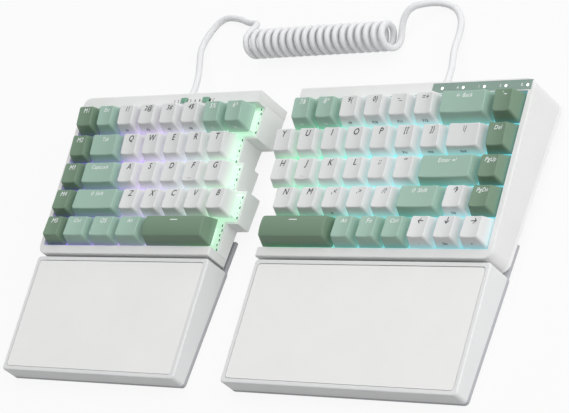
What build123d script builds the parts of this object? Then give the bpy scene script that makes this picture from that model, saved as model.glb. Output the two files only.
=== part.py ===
"""A split mechanical keyboard with two wrist rests and a coiled link cable.

Sizes are in millimetres. The desk is at Z = 0, the typist sits at -Y, and the origin is
on the desk under the middle of the keyboard and its wrist rests, cable left out.
"""
import os
from collections import namedtuple
from math import cos, hypot, pi, radians, sin, sqrt, tan

from build123d import *

os.makedirs("parts", exist_ok=True)

# Key grid and stance
key_pitch = 19.05
cap_gap = 0.95
tilt = 6
key_base_height = 20.0
halves_gap = 36.9

# Case
side_bezel = 4.3
rear_bezel = 8.6
front_bezel = 6.2
bezel_rise = 1.8
bezel_gap = 0.6
bezel_thickness = 2.2
case_lift = 3.1
case_corner = 6.0
top_edge_round = 0.8
floor_thickness = 2.4
inner_wall_reach = 1.4
inner_wall = 2.4
inner_chamfer = 2.2
wall_top_drop = 6.2
tub_reach = 1.9
tub_wall = 1.5
case_clearance = 0.15
fit_clearance = 0.3

# Switch plate, circuit board, switches
plate_drop = 6.6
plate_thickness = 1.5
plate_reach = 1.6
plate_inner_gap = 0.3
switch_hole = 14.0
switch_body = 13.8
switch_depth = 5.0
switch_flange = 15.6
flange_thickness = 1.0
switch_shoulder = 14.4
switch_top = 10.4
board_thickness = 1.6
chip_width = 7.0
chip_height = 0.9

# Key caps, one value per row, front row first
cap_front_insets = (3.4, 3.1, 2.7, 2.8, 4.0)
cap_rear_insets = (1.4, 1.6, 1.9, 1.6, 1.0)
cap_front_heights = (9.2, 8.5, 7.4, 7.2, 9.2)
cap_rear_heights = (8.2, 7.7, 7.5, 8.4, 10.4)
cap_side_inset = 2.9
cap_base_corner = 0.8
cap_top_corner = 1.8
cap_wall = 1.3
cap_roof_height = 5.4
dish_depth = 0.7
space_crown = 1.0
key_travel = 4.0
stem_radius = 2.7
stem_depth = 3.0
stem_clearance = 0.35

# Stabilisers under the wide keys
stabiliser_width = 6.6
stabiliser_depth = 11.0
stabiliser_height = 5.6
stabiliser_stem_radius = 1.9
stabiliser_stem_depth = 2.2
stabiliser_short_reach = 11.94
stabiliser_long_reach = 19.05
wire_radius = 0.6
wire_forward = 8.5
wire_bend = 1.5

# Ports in the rear walls
port_height = 12.5
receptacle_width = 8.9
receptacle_height = 3.2
receptacle_length = 7.4
receptacle_reach = 4.6
receptacle_wall = 0.3
port_opening_width = 12.6
port_opening_height = 7.8
port_board_width = 18.0
port_board_length = 9.0
port_column_width = 6.0

# Screws and feet
screw_radius = 1.0
screw_length = 9.0
screw_head_radius = 1.9
screw_head_height = 1.3
screw_clearance = 0.05
boss_width = 5.0
rear_screw_share = 0.36
foot_pad_radius = 5.0
foot_pad_recess = 0.5
foot_pad_margin = 9.0
fold_foot_width = 20.0
fold_foot_length = 17.0
fold_foot_thickness = 3.0
fold_foot_recess = 0.2
fold_foot_clearance = 0.5
fold_foot_swing_room = 2.5
fold_foot_setback = 13.0
pocket_wall = 1.6
hinge_pin_radius = 1.2
hinge_pin_clearance = 0.05

# Slide switches in the left half's rear bezel
slider_setback = 5.4
slider_first_place = 70.5
slider_pitch = 19.0
slider_length = 5.4
slider_width = 3.4
slider_height = 1.2
slider_stem = 1.6
slider_stem_depth = 4.0
slider_rib = 0.5
slider_rib_count = 3
mode_travel = 2.0
system_travel = 3.0

# Status panel in the right half's rear bezel
panel_length = 71.9
panel_width = 6.2
panel_thickness = 0.8
panel_side_margin = 2.1
panel_rear_margin = 1.3
panel_cut_length = 6.0
panel_cut_width = 2.0
panel_gap = 0.05
light_count = 5
light_pitch = 15.4
light_first_place = 7.4
light_setback = 4.6
light_radius = 0.9
light_depth = 4.0

# Wrist rests
rest_gap = 1.0
rest_length = 78.3
rest_rear_height = 19.4
rest_front_height = 12.6
rest_base_thickness = 2.4
rest_corner = 2.5
rest_edge_round = 1.0
rest_wall = 2.2
rest_skin = 2.0
rest_tongue_reach = 21.2
rest_tongue_inset = 0.8
pad_inset = 2.8
pad_corner = 2.5
pad_thickness = 2.0
pad_groove = 0.4
pad_sink = 0.2

# Link cable
wire_diameter = 4.2
coil_diameter = 19.5
coil_pitch = 6.3
coil_half_turns = 37
coil_lift = 0.05
coil_lead_run = 10.5
coil_exit_run = 12.5
coil_overrun_angle = 30
plug_body_width = 11.4
plug_body_height = 6.6
plug_body_length = 11.0
plug_body_corner = 2.4
plug_nose_width = 8.2
plug_nose_height = 2.3
plug_nose_length = 5.6
plug_gap = 0.3
boot_length = 4.4
boot_base_radius = 3.1
boot_tip_radius = 2.5
left_port_place = 52.9
right_port_place = 226.0
host_port_place = 262.0

# The layout in key pitches, counted from the left edge of the escape key, front row first
left_row_end_shares = (6.75, 7.25, 6.75, 6.5, 7)
right_row_start_shares = (7, 7.25, 6.75, 6.5, 7)
left_outer_share = -1
right_outer_share = 16

# Every key as row, left edge and width, the last two in key pitches
left_key_shares = {
    "macro_keys": [(row, -1, 1) for row in range(5)],
    "escape_key": [(4, 0, 1)],
    "left_number_keys": [(4, 1 + place, 1) for place in range(6)],
    "tab_key": [(3, 0, 1.5)],
    "left_upper_letter_keys": [(3, 1.5 + place, 1) for place in range(5)],
    "caps_lock_key": [(2, 0, 1.75)],
    "left_home_letter_keys": [(2, 1.75 + place, 1) for place in range(5)],
    "left_shift_key": [(1, 0, 2.25)],
    "left_lower_letter_keys": [(1, 2.25 + place, 1) for place in range(5)],
    "left_control_key": [(0, 0, 1.25)],
    "left_system_key": [(0, 1.25, 1.25)],
    "left_alt_key": [(0, 2.5, 1.25)],
    "left_space_bar": [(0, 3.75, 3)],
}
right_key_shares = {
    "right_number_keys": [(4, 7 + place, 1) for place in range(6)],
    "backspace_key": [(4, 13, 2)],
    "right_upper_letter_keys": [(3, 6.5 + place, 1) for place in range(7)] + [(3, 13.5, 1.5)],
    "right_home_letter_keys": [(2, 6.75 + place, 1) for place in range(6)],
    "enter_key": [(2, 12.75, 2.25)],
    "right_lower_letter_keys": [(1, 7.25 + place, 1) for place in range(5)],
    "right_shift_key": [(1, 12.25, 1.75)],
    "up_arrow_key": [(1, 14, 1)],
    "left_arrow_key": [(0, 13, 1)],
    "down_arrow_key": [(0, 14, 1)],
    "right_arrow_key": [(0, 15, 1)],
    "right_space_bar": [(0, 7, 3)],
    "right_modifier_keys": [(0, 10 + place, 1) for place in range(3)],
    "navigation_keys": [(row, 15, 1) for row in range(1, 5)],
}
space_bars = ("left_space_bar", "right_space_bar")
stabilised_share = 2
long_stabiliser_share = 3

# Places worked out from the sizes above
row_count = len(left_row_end_shares)
tilt_sin = sin(radians(tilt))
tilt_cos = cos(radians(tilt))
column_count = right_outer_share - left_outer_share
overall_width = column_count * key_pitch + 2 * side_bezel + halves_gap
key_field_depth = row_count * key_pitch * tilt_cos
overall_depth = rest_length + rest_gap + front_bezel + key_field_depth + rear_bezel
keys_front = overall_depth / 2 - rear_bezel - key_field_depth
case_front = keys_front - front_bezel
case_rear = overall_depth / 2
deck_shift = plate_drop * tilt_sin
deck_front = keys_front + deck_shift
deck_rear = deck_front + key_field_depth
floor_top = case_lift + floor_thickness
board_drop = plate_drop + switch_depth
tall = key_base_height + overall_depth * tan(radians(tilt))
left_grid = -overall_width / 2 + side_bezel - left_outer_share * key_pitch
right_grid = left_grid + halves_gap

Half = namedtuple("Half", "name grid outward inner_shares outer_share key_shares")
left = Half("left", left_grid, 1, left_row_end_shares, left_outer_share, left_key_shares)
right = Half("right", right_grid, -1, right_row_start_shares, right_outer_share, right_key_shares)


def export(builder, name):
    """Labels a finished piece and writes it."""
    builder.part.label = name
    export_step(builder.part, f"parts/{name}.step")


def key_plane(half, drop=0):
    """The tilted plane of the cap bottoms, or one that many millimetres under it."""
    origin = Vector(half.grid, keys_front, key_base_height)
    plane = Plane(origin=origin, x_dir=(1, 0, 0), z_dir=(0, -tilt_sin, tilt_cos))
    return plane.offset(-drop)


def inner_edge(half, grid, first_line, row_step, reach, front, rear):
    """Points of the stepped edge between the halves, front to rear, grown by a reach."""
    points = []
    for row, share in enumerate(half.inner_shares):
        x = grid + share * key_pitch + half.outward * reach
        low = front
        if row:
            further = half.outward * (share - half.inner_shares[row - 1]) > 0
            low = first_line + row * row_step - (reach if further else -reach)
            points.append((points[-1][0], low))
        points.append((x, low))
    points.append((points[-1][0], rear))
    return points


def outer_side(half, grid, reach):
    """X of the straight outer side, grown by a reach."""
    return grid + half.outer_share * key_pitch - half.outward * reach


def desk_outline(half, inner_reach, outer_reach, front, rear):
    """A half's stepped outline seen from above."""
    step = key_pitch * tilt_cos
    points = inner_edge(half, half.grid, deck_front, step, inner_reach, front, rear)
    x = outer_side(half, half.grid, outer_reach)
    return points + [(x, rear), (x, front)]


def deck_outline(half, inner_reach, outer_reach):
    """A half's stepped outline in the tilted key plane, from its grid corner."""
    front = -outer_reach
    rear = row_count * key_pitch + outer_reach
    points = inner_edge(half, 0, 0, key_pitch, inner_reach, front, rear)
    x = outer_side(half, 0, outer_reach)
    return points + [(x, rear), (x, front)]


def key_places(half):
    """Centre and width of every key of a half, on its tilted plane."""
    places = []
    for keys in half.key_shares.values():
        for row, start, width in keys:
            places.append(((start + width / 2) * key_pitch, (row + 0.5) * key_pitch, width))
    return places


def stabiliser_reach(width):
    """How far a wide key's stabiliser stems stand from its middle."""
    return stabiliser_long_reach if width >= long_stabiliser_share else stabiliser_short_reach


def bezel_height(y):
    """Height of the bezel's top over the desk at a place along Y."""
    return key_base_height + (y - keys_front) * tilt_sin / tilt_cos + bezel_rise / tilt_cos


def screw_places(half):
    """Screws along the front band and the rear band of a case."""
    front_y = (case_front + deck_front - tub_reach - case_clearance) / 2
    rear_y = (deck_rear + tub_reach + case_clearance + case_rear - bezel_thickness) / 2
    outer = outer_side(half, half.grid, 0)
    inner_front = half.grid + half.inner_shares[0] * key_pitch
    inner_rear = half.grid + half.inner_shares[-1] * key_pitch
    inset = half.outward * boss_width
    places = [(outer + inset, front_y), (inner_front - inset, front_y)]
    places.append(((outer + inner_front) / 2, front_y))
    places += [(outer + inset / 2, rear_y), (inner_rear - inset / 2, rear_y)]
    places.append((outer + rear_screw_share * (inner_rear - outer), rear_y))
    return places


def foot_pad_places(half):
    """The four rubber feet under a case."""
    outer = outer_side(half, half.grid, 0) + half.outward * foot_pad_margin
    inner = half.grid + min(half.inner_shares, key=lambda share: share * half.outward) * key_pitch
    inner -= half.outward * foot_pad_margin
    front = case_front - rest_gap + rest_tongue_reach + foot_pad_radius + fit_clearance
    rear = case_rear - foot_pad_margin
    return [(x, y) for x in (outer, inner) for y in (front, rear)]


def fold_foot_places(half):
    """X of the middle of each fold-out foot."""
    outer = outer_side(half, half.grid, 0)
    inner = half.grid + min(half.inner_shares, key=lambda share: share * half.outward) * key_pitch
    reach = foot_pad_margin + foot_pad_radius + pocket_wall + fold_foot_width / 2 + fit_clearance
    return (outer + half.outward * reach, inner - half.outward * reach)


hinge_y = case_rear - fold_foot_setback
hinge_z = case_lift + fold_foot_recess + fold_foot_thickness / 2
port_places = {"left": [left_grid + left_port_place], "right": [right_grid + right_port_place]}
host_port_x = right_grid + host_port_place


def all_ports(half):
    """X of every port in a half's rear wall."""
    return port_places[half.name] + ([host_port_x] if half is right else [])


def wrist_rest_span(half):
    """X of the two ends of a wrist rest."""
    ends = (
        outer_side(half, half.grid, side_bezel),
        half.grid + half.inner_shares[0] * key_pitch + half.outward * inner_wall_reach,
    )
    return min(ends), max(ends)


# Cases


def make_bottom_case(half):
    """The tray: floor, stepped inner wall, the walls that carry the plate, foot pockets."""
    pocket_width = fold_foot_width + 2 * fit_clearance
    pocket_front = hinge_y - fold_foot_length - fold_foot_clearance
    pocket_rear = hinge_y + fold_foot_swing_room
    pocket_top = hinge_z + fold_foot_thickness / 2 + fold_foot_clearance
    pocket_y = (pocket_front + pocket_rear) / 2
    pocket_depth = pocket_rear - pocket_front

    with BuildPart() as plate_room:
        with BuildSketch(key_plane(half, plate_drop + plate_thickness)):
            with BuildLine():
                Polyline(deck_outline(half, -plate_inner_gap / 2, tub_reach + tub_wall), close=True)
            make_face()
        extrude(amount=tall)

    with BuildPart() as tub:
        with BuildSketch(Plane.XY.offset(floor_top)):
            with BuildLine():
                front = deck_front - tub_reach
                rear = deck_rear + tub_reach
                Polyline(desk_outline(half, inner_wall_reach, tub_reach, front, rear), close=True)
            make_face()
            with BuildLine():
                inner_reach = inner_wall_reach - inner_wall
                reach = tub_reach - tub_wall
                front = deck_front - reach
                rear = deck_rear + reach
                Polyline(desk_outline(half, inner_reach, reach, front, rear), close=True)
            make_face(mode=Mode.SUBTRACT)
        extrude(amount=tall)
        split(bisect_by=key_plane(half, wall_top_drop), keep=Keep.BOTTOM)
        add(plate_room.part, mode=Mode.SUBTRACT)

    with BuildPart() as case:
        with BuildSketch(Plane.XY.offset(case_lift)):
            with BuildLine():
                Polyline(
                    desk_outline(half, inner_wall_reach, side_bezel, case_front, case_rear),
                    close=True,
                )
            make_face()
        extrude(amount=floor_thickness)

        # The underside slopes in under the stepped inner edge
        inner_low = inner_edge(
            half, half.grid, deck_front, key_pitch * tilt_cos, inner_wall_reach, case_front, case_rear
        )
        inner_middles = [
            ((a[0] + b[0]) / 2, (a[1] + b[1]) / 2) for a, b in zip(inner_low, inner_low[1:])
        ]
        low_edges = case.faces().sort_by(Axis.Z)[0].edges()
        sloped = [
            edge
            for edge in low_edges
            if any(
                hypot(edge.center().X - x, edge.center().Y - y) < fit_clearance
                for x, y in inner_middles
            )
        ]
        chamfer(sloped, inner_chamfer)
        outer_x = outer_side(half, half.grid, side_bezel)
        corners = case.edges().filter_by(Axis.Z).filter_by(
            lambda edge: abs(edge.center().X - outer_x) < fit_clearance
        )
        fillet(corners, case_corner)
        add(tub.part)

        # Pockets for the fold-out feet, with their hinge holes
        for x in fold_foot_places(half):
            with Locations((x, pocket_y, floor_top)):
                Box(
                    pocket_width + 2 * pocket_wall,
                    pocket_depth + 2 * pocket_wall,
                    pocket_top + pocket_wall - floor_top,
                    align=(Align.CENTER, Align.CENTER, Align.MIN),
                )
            with Locations((x, pocket_y, case_lift)):
                Box(
                    pocket_width,
                    pocket_depth,
                    pocket_top - case_lift,
                    align=(Align.CENTER, Align.CENTER, Align.MIN),
                    mode=Mode.SUBTRACT,
                )
            with BuildSketch(Plane.YZ.offset(x)):
                with Locations((hinge_y, hinge_z)):
                    Circle(hinge_pin_radius + hinge_pin_clearance)
            extrude(
                amount=pocket_width / 2 + pocket_wall,
                both=True,
                mode=Mode.SUBTRACT,
            )

        # Columns under the port boards and the gaps that the ports pass through
        column_top = port_height - receptacle_height / 2 - board_thickness
        for x in all_ports(half):
            with Locations((x, deck_rear - port_board_length / 2, floor_top)):
                Box(
                    port_column_width,
                    port_board_length - 2 * pocket_wall,
                    column_top - floor_top,
                    align=(Align.CENTER, Align.CENTER, Align.MIN),
                )
            with Locations((x, deck_rear, port_height)):
                Box(
                    port_opening_width,
                    2 * tub_reach + fit_clearance,
                    port_opening_height,
                    mode=Mode.SUBTRACT,
                )

        # Recesses for the rubber feet and the screws
        with BuildSketch(Plane.XY.offset(case_lift)):
            with Locations(foot_pad_places(half)):
                Circle(foot_pad_radius)
        extrude(amount=foot_pad_recess, mode=Mode.SUBTRACT)
        with BuildSketch(Plane.XY.offset(case_lift)):
            with Locations(screw_places(half)):
                Circle(screw_head_radius + screw_clearance)
        extrude(amount=screw_head_height, mode=Mode.SUBTRACT)
        with BuildSketch(Plane.XY.offset(case_lift)):
            with Locations(screw_places(half)):
                Circle(screw_radius + screw_clearance)
        extrude(amount=floor_thickness, mode=Mode.SUBTRACT)
    export(case, f"{half.name}_bottom_case")


def make_top_frame(half):
    """The outer shell: side, front and rear walls with the bezel round the keys."""
    outer_x = outer_side(half, half.grid, side_bezel)
    field_x = outer_side(half, half.grid, bezel_gap)
    front_end = half.grid + half.inner_shares[0] * key_pitch + half.outward * inner_wall_reach
    rear_end = half.grid + half.inner_shares[-1] * key_pitch + half.outward * inner_wall_reach
    field_front = keys_front - bezel_gap
    field_rear = keys_front + key_field_depth + bezel_gap
    pocket_front = deck_rear + tub_reach + case_clearance
    pocket_rear = case_rear - bezel_thickness
    pocket_y = (pocket_front + pocket_rear) / 2
    pocket_top = bezel_height(pocket_front) - bezel_thickness

    with BuildPart() as tub_room:
        with BuildSketch(Plane.XY.offset(case_lift)):
            with BuildLine():
                reach = tub_reach + case_clearance
                front = deck_front - reach
                rear = deck_rear + reach
                Polyline(desk_outline(half, side_bezel, reach, front, rear), close=True)
            make_face()
        extrude(amount=tall)
        split(bisect_by=key_plane(half, wall_top_drop - case_clearance), keep=Keep.BOTTOM)

    with BuildPart() as frame:
        with BuildSketch(Plane.XY.offset(floor_top)):
            with BuildLine():
                Polyline(
                    (outer_x, case_front),
                    (front_end, case_front),
                    (front_end, field_front),
                    (field_x, field_front),
                    (field_x, field_rear),
                    (rear_end, field_rear),
                    (rear_end, case_rear),
                    (outer_x, case_rear),
                    close=True,
                )
            make_face()
        extrude(amount=tall)
        corners = frame.edges().filter_by(Axis.Z).filter_by(
            lambda edge: abs(edge.center().X - outer_x) < fit_clearance
        )
        fillet(corners, case_corner)
        split(bisect_by=key_plane(half, -bezel_rise), keep=Keep.BOTTOM)
        rims = frame.faces().sort_by(Axis.Z)[-1].edges().filter_by(
            lambda edge: min(
                abs(edge.center().X - outer_x),
                abs(edge.center().Y - case_front),
                abs(edge.center().Y - case_rear),
            )
            < case_corner / 2
        )
        fillet(rims, top_edge_round)
        add(tub_room.part, mode=Mode.SUBTRACT)

        # Pockets in the rear band, between the screw bosses
        rear_screws = sorted(x for x, y in screw_places(half)[-3:])
        for low, high in zip(rear_screws, rear_screws[1:]):
            with Locations(((low + high) / 2, pocket_y, floor_top)):
                Box(
                    high - low - boss_width,
                    pocket_rear - pocket_front,
                    pocket_top - floor_top,
                    align=(Align.CENTER, Align.CENTER, Align.MIN),
                    mode=Mode.SUBTRACT,
                )
        for x in all_ports(half):
            with Locations((x, case_rear, port_height)):
                Box(
                    port_opening_width,
                    2 * (case_rear - pocket_y),
                    port_opening_height,
                    mode=Mode.SUBTRACT,
                )
        with BuildSketch(Plane.XY.offset(floor_top)):
            with Locations(screw_places(half)):
                Circle(screw_radius + screw_clearance)
        extrude(amount=screw_length, mode=Mode.SUBTRACT)

        if half is left:
            with BuildSketch(key_plane(half, -bezel_rise)):
                for place, travel in zip(slider_places, slider_spans):
                    middle = place[0] + (travel[0] + travel[1]) / 2
                    with Locations((middle, place[1])):
                        Rectangle(
                            slider_stem + travel[1] - travel[0] + 2 * fit_clearance,
                            slider_stem + 2 * fit_clearance,
                        )
            extrude(amount=-2 * bezel_thickness, mode=Mode.SUBTRACT)
        else:
            with BuildSketch(key_plane(half, -bezel_rise)):
                with BuildLine():
                    Polyline(panel_outline(panel_gap), close=True)
                make_face()
            extrude(amount=-panel_thickness, mode=Mode.SUBTRACT)
            with BuildSketch(key_plane(half, -bezel_rise)):
                with Locations(light_places):
                    Circle(light_radius + panel_gap)
            extrude(amount=-2 * light_depth, mode=Mode.SUBTRACT)
    export(frame, f"{half.name}_top_frame")


# Places on the tilted rear bezel, from each half's grid corner
bezel_rear_line = (case_rear - keys_front + bezel_rise * tilt_sin) / tilt_cos
slider_places = [
    (slider_first_place + index * slider_pitch, bezel_rear_line - slider_setback)
    for index in range(2)
]
slider_spans = ((-mode_travel, mode_travel), (0, system_travel))
panel_right = right_outer_share * key_pitch + side_bezel - panel_side_margin
panel_left = panel_right - panel_length
panel_rear = bezel_rear_line - panel_rear_margin
panel_front = panel_rear - panel_width
light_places = [
    (panel_left + light_first_place + index * light_pitch, bezel_rear_line - light_setback)
    for index in range(light_count)
]


def panel_outline(growth):
    """The status panel with its cut corner, grown by a gap."""
    return [
        (panel_left - growth, panel_rear + growth),
        (panel_left - growth, panel_front + panel_cut_width - growth),
        (panel_left + panel_cut_length - growth, panel_front - growth),
        (panel_right + growth, panel_front - growth),
        (panel_right + growth, panel_rear + growth),
    ]


# Inside a half


def make_switch_plate(half):
    """The metal plate that every switch clips into."""
    with BuildPart() as plate:
        with BuildSketch(key_plane(half, plate_drop)):
            with BuildLine():
                Polyline(deck_outline(half, -plate_inner_gap, plate_reach), close=True)
            make_face()
            with Locations([(x, y) for x, y, width in key_places(half)]):
                Rectangle(switch_hole, switch_hole, mode=Mode.SUBTRACT)
        extrude(amount=-plate_thickness)
    export(plate, f"{half.name}_switch_plate")


def make_circuit_board(half):
    """The main board under the switches, with its chip, and the small port boards."""
    middle_x = half.grid + (half.inner_shares[2] + half.outer_share) / 2 * key_pitch
    with BuildPart() as board:
        with BuildSketch(key_plane(half, board_drop)):
            with BuildLine():
                Polyline(deck_outline(half, -inner_wall, -fit_clearance), close=True)
            make_face()
        extrude(amount=-board_thickness)
        with BuildSketch(key_plane(half, board_drop + board_thickness)):
            with Locations((middle_x - half.grid, key_field_depth / 2)):
                Rectangle(chip_width, chip_width)
        extrude(amount=-chip_height)
        for x in all_ports(half):
            board_top = port_height - receptacle_height / 2
            with Locations((x, deck_rear - port_board_length / 2, board_top)):
                Box(
                    port_board_width,
                    port_board_length,
                    board_thickness,
                    align=(Align.CENTER, Align.CENTER, Align.MAX),
                )
            mouth = deck_rear + receptacle_reach - deck_shift
            with BuildSketch(Plane.XZ.offset(-mouth)):
                with Locations((x, port_height)):
                    RectangleRounded(
                        receptacle_width,
                        receptacle_height,
                        receptacle_height / 2 - receptacle_wall / 2,
                    )
            extrude(amount=receptacle_length)
            inner_height = receptacle_height - 2 * receptacle_wall
            with BuildSketch(Plane.XZ.offset(-mouth)):
                with Locations((x, port_height)):
                    RectangleRounded(
                        receptacle_width - 2 * receptacle_wall,
                        inner_height,
                        inner_height / 2 - receptacle_wall / 2,
                    )
            extrude(amount=receptacle_length - receptacle_wall, mode=Mode.SUBTRACT)
    export(board, f"{half.name}_circuit_board")


with BuildPart() as key_switch:
    with BuildSketch(Plane.XY.offset(-plate_drop)):
        Rectangle(switch_body, switch_body)
    extrude(amount=-switch_depth)
    with BuildSketch(Plane.XY.offset(-plate_drop)):
        Rectangle(switch_flange, switch_flange)
    extrude(amount=flange_thickness)
    with BuildSketch(Plane.XY.offset(flange_thickness - plate_drop)):
        Rectangle(switch_shoulder, switch_shoulder)
    with BuildSketch(Plane.XY):
        Rectangle(switch_top, switch_top)
    loft()
    with BuildSketch(Plane.XY):
        Circle(stem_radius + stem_clearance)
    extrude(amount=-stem_depth - key_travel - fit_clearance, mode=Mode.SUBTRACT)


def make_key_switches(half):
    """One switch housing under every key, each with the well its slider moves in."""
    with BuildPart(key_plane(half)) as switches:
        with Locations([(x, y, 0) for x, y, width in key_places(half)]):
            add(key_switch.part)
    export(switches, f"{half.name}_key_switches")


def make_stabilisers(half):
    """Guides at both ends of each wide key, joined by a wire."""
    wire_drop = plate_drop - wire_radius - case_clearance
    with BuildPart(key_plane(half)) as stabilisers:
        for x, y, width in key_places(half):
            if width < stabilised_share:
                continue
            reach = stabiliser_reach(width)
            with Locations((x - reach, y, -plate_drop), (x + reach, y, -plate_drop)):
                Box(
                    stabiliser_width,
                    stabiliser_depth,
                    stabiliser_height,
                    align=(Align.CENTER, Align.CENTER, Align.MIN),
                )
            with Locations((x - reach, y, -plate_drop), (x + reach, y, -plate_drop)):
                Cylinder(
                    stabiliser_stem_radius + stem_clearance,
                    stabiliser_height,
                    align=(Align.CENTER, Align.CENTER, Align.MIN),
                    mode=Mode.SUBTRACT,
                )
            start = stabiliser_depth / 2 - wire_bend
            with BuildLine(key_plane(half)) as route:
                FilletPolyline(
                    (x - reach, y - start, -wire_drop),
                    (x - reach, y - wire_forward, -wire_drop),
                    (x + reach, y - wire_forward, -wire_drop),
                    (x + reach, y - start, -wire_drop),
                    radius=wire_bend,
                )
            with BuildSketch(Plane(origin=route.line @ 0, z_dir=route.line % 0)):
                Circle(wire_radius)
            sweep(path=route.line)
    export(stabilisers, f"{half.name}_stabilisers")


# Key caps


def make_cap(width_share, row, is_space):
    """One hollow cap with its stems, standing on its own bottom plane."""
    width = width_share * key_pitch - cap_gap
    depth = key_pitch - cap_gap
    front_y = cap_front_insets[row] - depth / 2
    rear_y = depth / 2 - cap_rear_insets[row]
    crown = space_crown if is_space else 0
    front_z = cap_front_heights[row] + crown
    rear_z = cap_rear_heights[row] + crown
    top_width = width - 2 * cap_side_inset
    top_depth = hypot(rear_y - front_y, rear_z - front_z)
    top_middle = (0, (front_y + rear_y) / 2, (front_z + rear_z) / 2)
    top_plane = Plane(
        origin=top_middle, x_dir=(1, 0, 0), z_dir=(0, front_z - rear_z, rear_y - front_y)
    )

    def wall_inset(inset, height):
        return inset * cap_roof_height / height + cap_wall

    roof_front = wall_inset(cap_front_insets[row], front_z) - depth / 2
    roof_rear = depth / 2 - wall_inset(cap_rear_insets[row], rear_z)
    roof_width = width - 2 * wall_inset(cap_side_inset, min(front_z, rear_z))

    with BuildPart() as cap:
        with BuildSketch(Plane.XY):
            RectangleRounded(width, depth, cap_base_corner)
        with BuildSketch(top_plane):
            RectangleRounded(top_width, top_depth, cap_top_corner)
        loft()
        if is_space:
            half_depth = top_depth / 2
            curve = (half_depth**2 + crown**2) / (2 * crown)
            with BuildSketch(Plane.YZ):
                with Locations((top_middle[1], top_middle[2] - curve)):
                    Circle(curve)
            extrude(amount=width, both=True, mode=Mode.INTERSECT)
        else:
            half_width = top_width / 2
            curve = (half_width**2 + dish_depth**2) / (2 * dish_depth)
            dish_plane = Plane(
                origin=top_plane.origin + top_plane.z_dir * (curve - dish_depth),
                x_dir=(1, 0, 0),
                z_dir=top_plane.y_dir,
            )
            with BuildSketch(dish_plane):
                Circle(curve)
            extrude(amount=depth, both=True, mode=Mode.SUBTRACT)
        with BuildSketch(Plane.XY):
            RectangleRounded(width - 2 * cap_wall, depth - 2 * cap_wall, cap_base_corner)
        with BuildSketch(Plane.XY.offset(cap_roof_height)):
            with Locations((0, (roof_front + roof_rear) / 2)):
                RectangleRounded(roof_width, roof_rear - roof_front, cap_base_corner)
        loft(mode=Mode.SUBTRACT)
        with BuildSketch(Plane.XY.offset(-stem_depth)):
            Circle(stem_radius)
        extrude(amount=stem_depth + cap_roof_height)
        if width_share >= stabilised_share:
            reach = stabiliser_reach(width_share)
            with BuildSketch(Plane.XY.offset(-stabiliser_stem_depth)):
                with Locations((-reach, 0), (reach, 0)):
                    Circle(stabiliser_stem_radius)
            extrude(amount=stabiliser_stem_depth + cap_roof_height)
    return cap.part


def make_keys(half):
    """Every key node of a half: one cap, or a row of caps that share a node."""
    for name, keys in half.key_shares.items():
        is_space = name in space_bars
        caps = [make_cap(width, row, is_space) for row, start, width in keys]
        with BuildPart(key_plane(half)) as key:
            for cap, (row, start, width) in zip(caps, keys):
                with Locations(((start + width / 2) * key_pitch, (row + 0.5) * key_pitch, 0)):
                    add(cap)
        export(key, name)


# Screws, feet and sliders


def make_case_screws(half):
    """Screws that come up through the floor into the top frame."""
    with BuildPart() as screws:
        with BuildSketch(Plane.XY.offset(case_lift + screw_clearance)):
            with Locations(screw_places(half)):
                Circle(screw_head_radius)
        extrude(amount=screw_head_height - screw_clearance)
        with BuildSketch(Plane.XY.offset(case_lift + screw_head_height)):
            with Locations(screw_places(half)):
                Circle(screw_radius)
        extrude(amount=screw_length)
    export(screws, f"{half.name}_case_screws")


def make_rubber_feet(half):
    """Four round pads that hold the case off the desk."""
    with BuildPart() as feet:
        with BuildSketch():
            with Locations(foot_pad_places(half)):
                Circle(foot_pad_radius - case_clearance)
        extrude(amount=case_lift + foot_pad_recess)
    export(feet, f"{half.name}_rubber_feet")


def make_fold_out_feet(half):
    """Two feet on one hinge line, folded into the floor."""
    thickness = fold_foot_thickness
    with BuildPart() as feet:
        for x in fold_foot_places(half):
            with BuildSketch(Plane.YZ.offset(x)):
                with Locations((hinge_y, hinge_z)):
                    Circle(thickness / 2)
                with Locations((hinge_y - fold_foot_length / 2 + thickness / 4, hinge_z)):
                    Rectangle(fold_foot_length - thickness / 2, thickness)
            extrude(amount=fold_foot_width / 2, both=True)
            with BuildSketch(Plane.YZ.offset(x)):
                with Locations((hinge_y, hinge_z)):
                    Circle(hinge_pin_radius)
            extrude(amount=fold_foot_width / 2 + fit_clearance + pocket_wall, both=True)
    export(feet, f"{half.name}_fold_out_feet")


def make_slider(name, place):
    """A slide switch's knob: ribbed head over the bezel, stem through the slot."""
    head_bottom = bezel_rise + case_clearance
    with BuildPart(key_plane(left)) as slider:
        with Locations((place[0], place[1], head_bottom)):
            Box(
                slider_length,
                slider_width,
                slider_height - slider_rib,
                align=(Align.CENTER, Align.CENTER, Align.MIN),
            )
        spacing = slider_length / (slider_rib_count + 1)
        for index in range(slider_rib_count):
            rib_x = place[0] + (index - (slider_rib_count - 1) / 2) * spacing
            with Locations((rib_x, place[1], head_bottom)):
                Box(
                    slider_rib,
                    slider_width,
                    slider_height,
                    align=(Align.CENTER, Align.CENTER, Align.MIN),
                )
        with Locations((place[0], place[1], head_bottom)):
            Box(
                slider_stem,
                slider_stem,
                slider_stem_depth,
                align=(Align.CENTER, Align.CENTER, Align.MAX),
            )
    export(slider, name)


def make_status_panel():
    """The coloured strip in the rear bezel and the five light guides in it."""
    with BuildPart() as panel:
        with BuildSketch(key_plane(right, -bezel_rise)):
            with BuildLine():
                Polyline(panel_outline(0), close=True)
            make_face()
            with Locations(light_places):
                Circle(light_radius + panel_gap, mode=Mode.SUBTRACT)
        extrude(amount=-panel_thickness)
    export(panel, "status_panel")

    with BuildPart() as lights:
        with BuildSketch(key_plane(right, -bezel_rise)):
            with Locations(light_places):
                Circle(light_radius)
        extrude(amount=-light_depth)
    export(lights, "status_lights")


# Wrist rests


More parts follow.
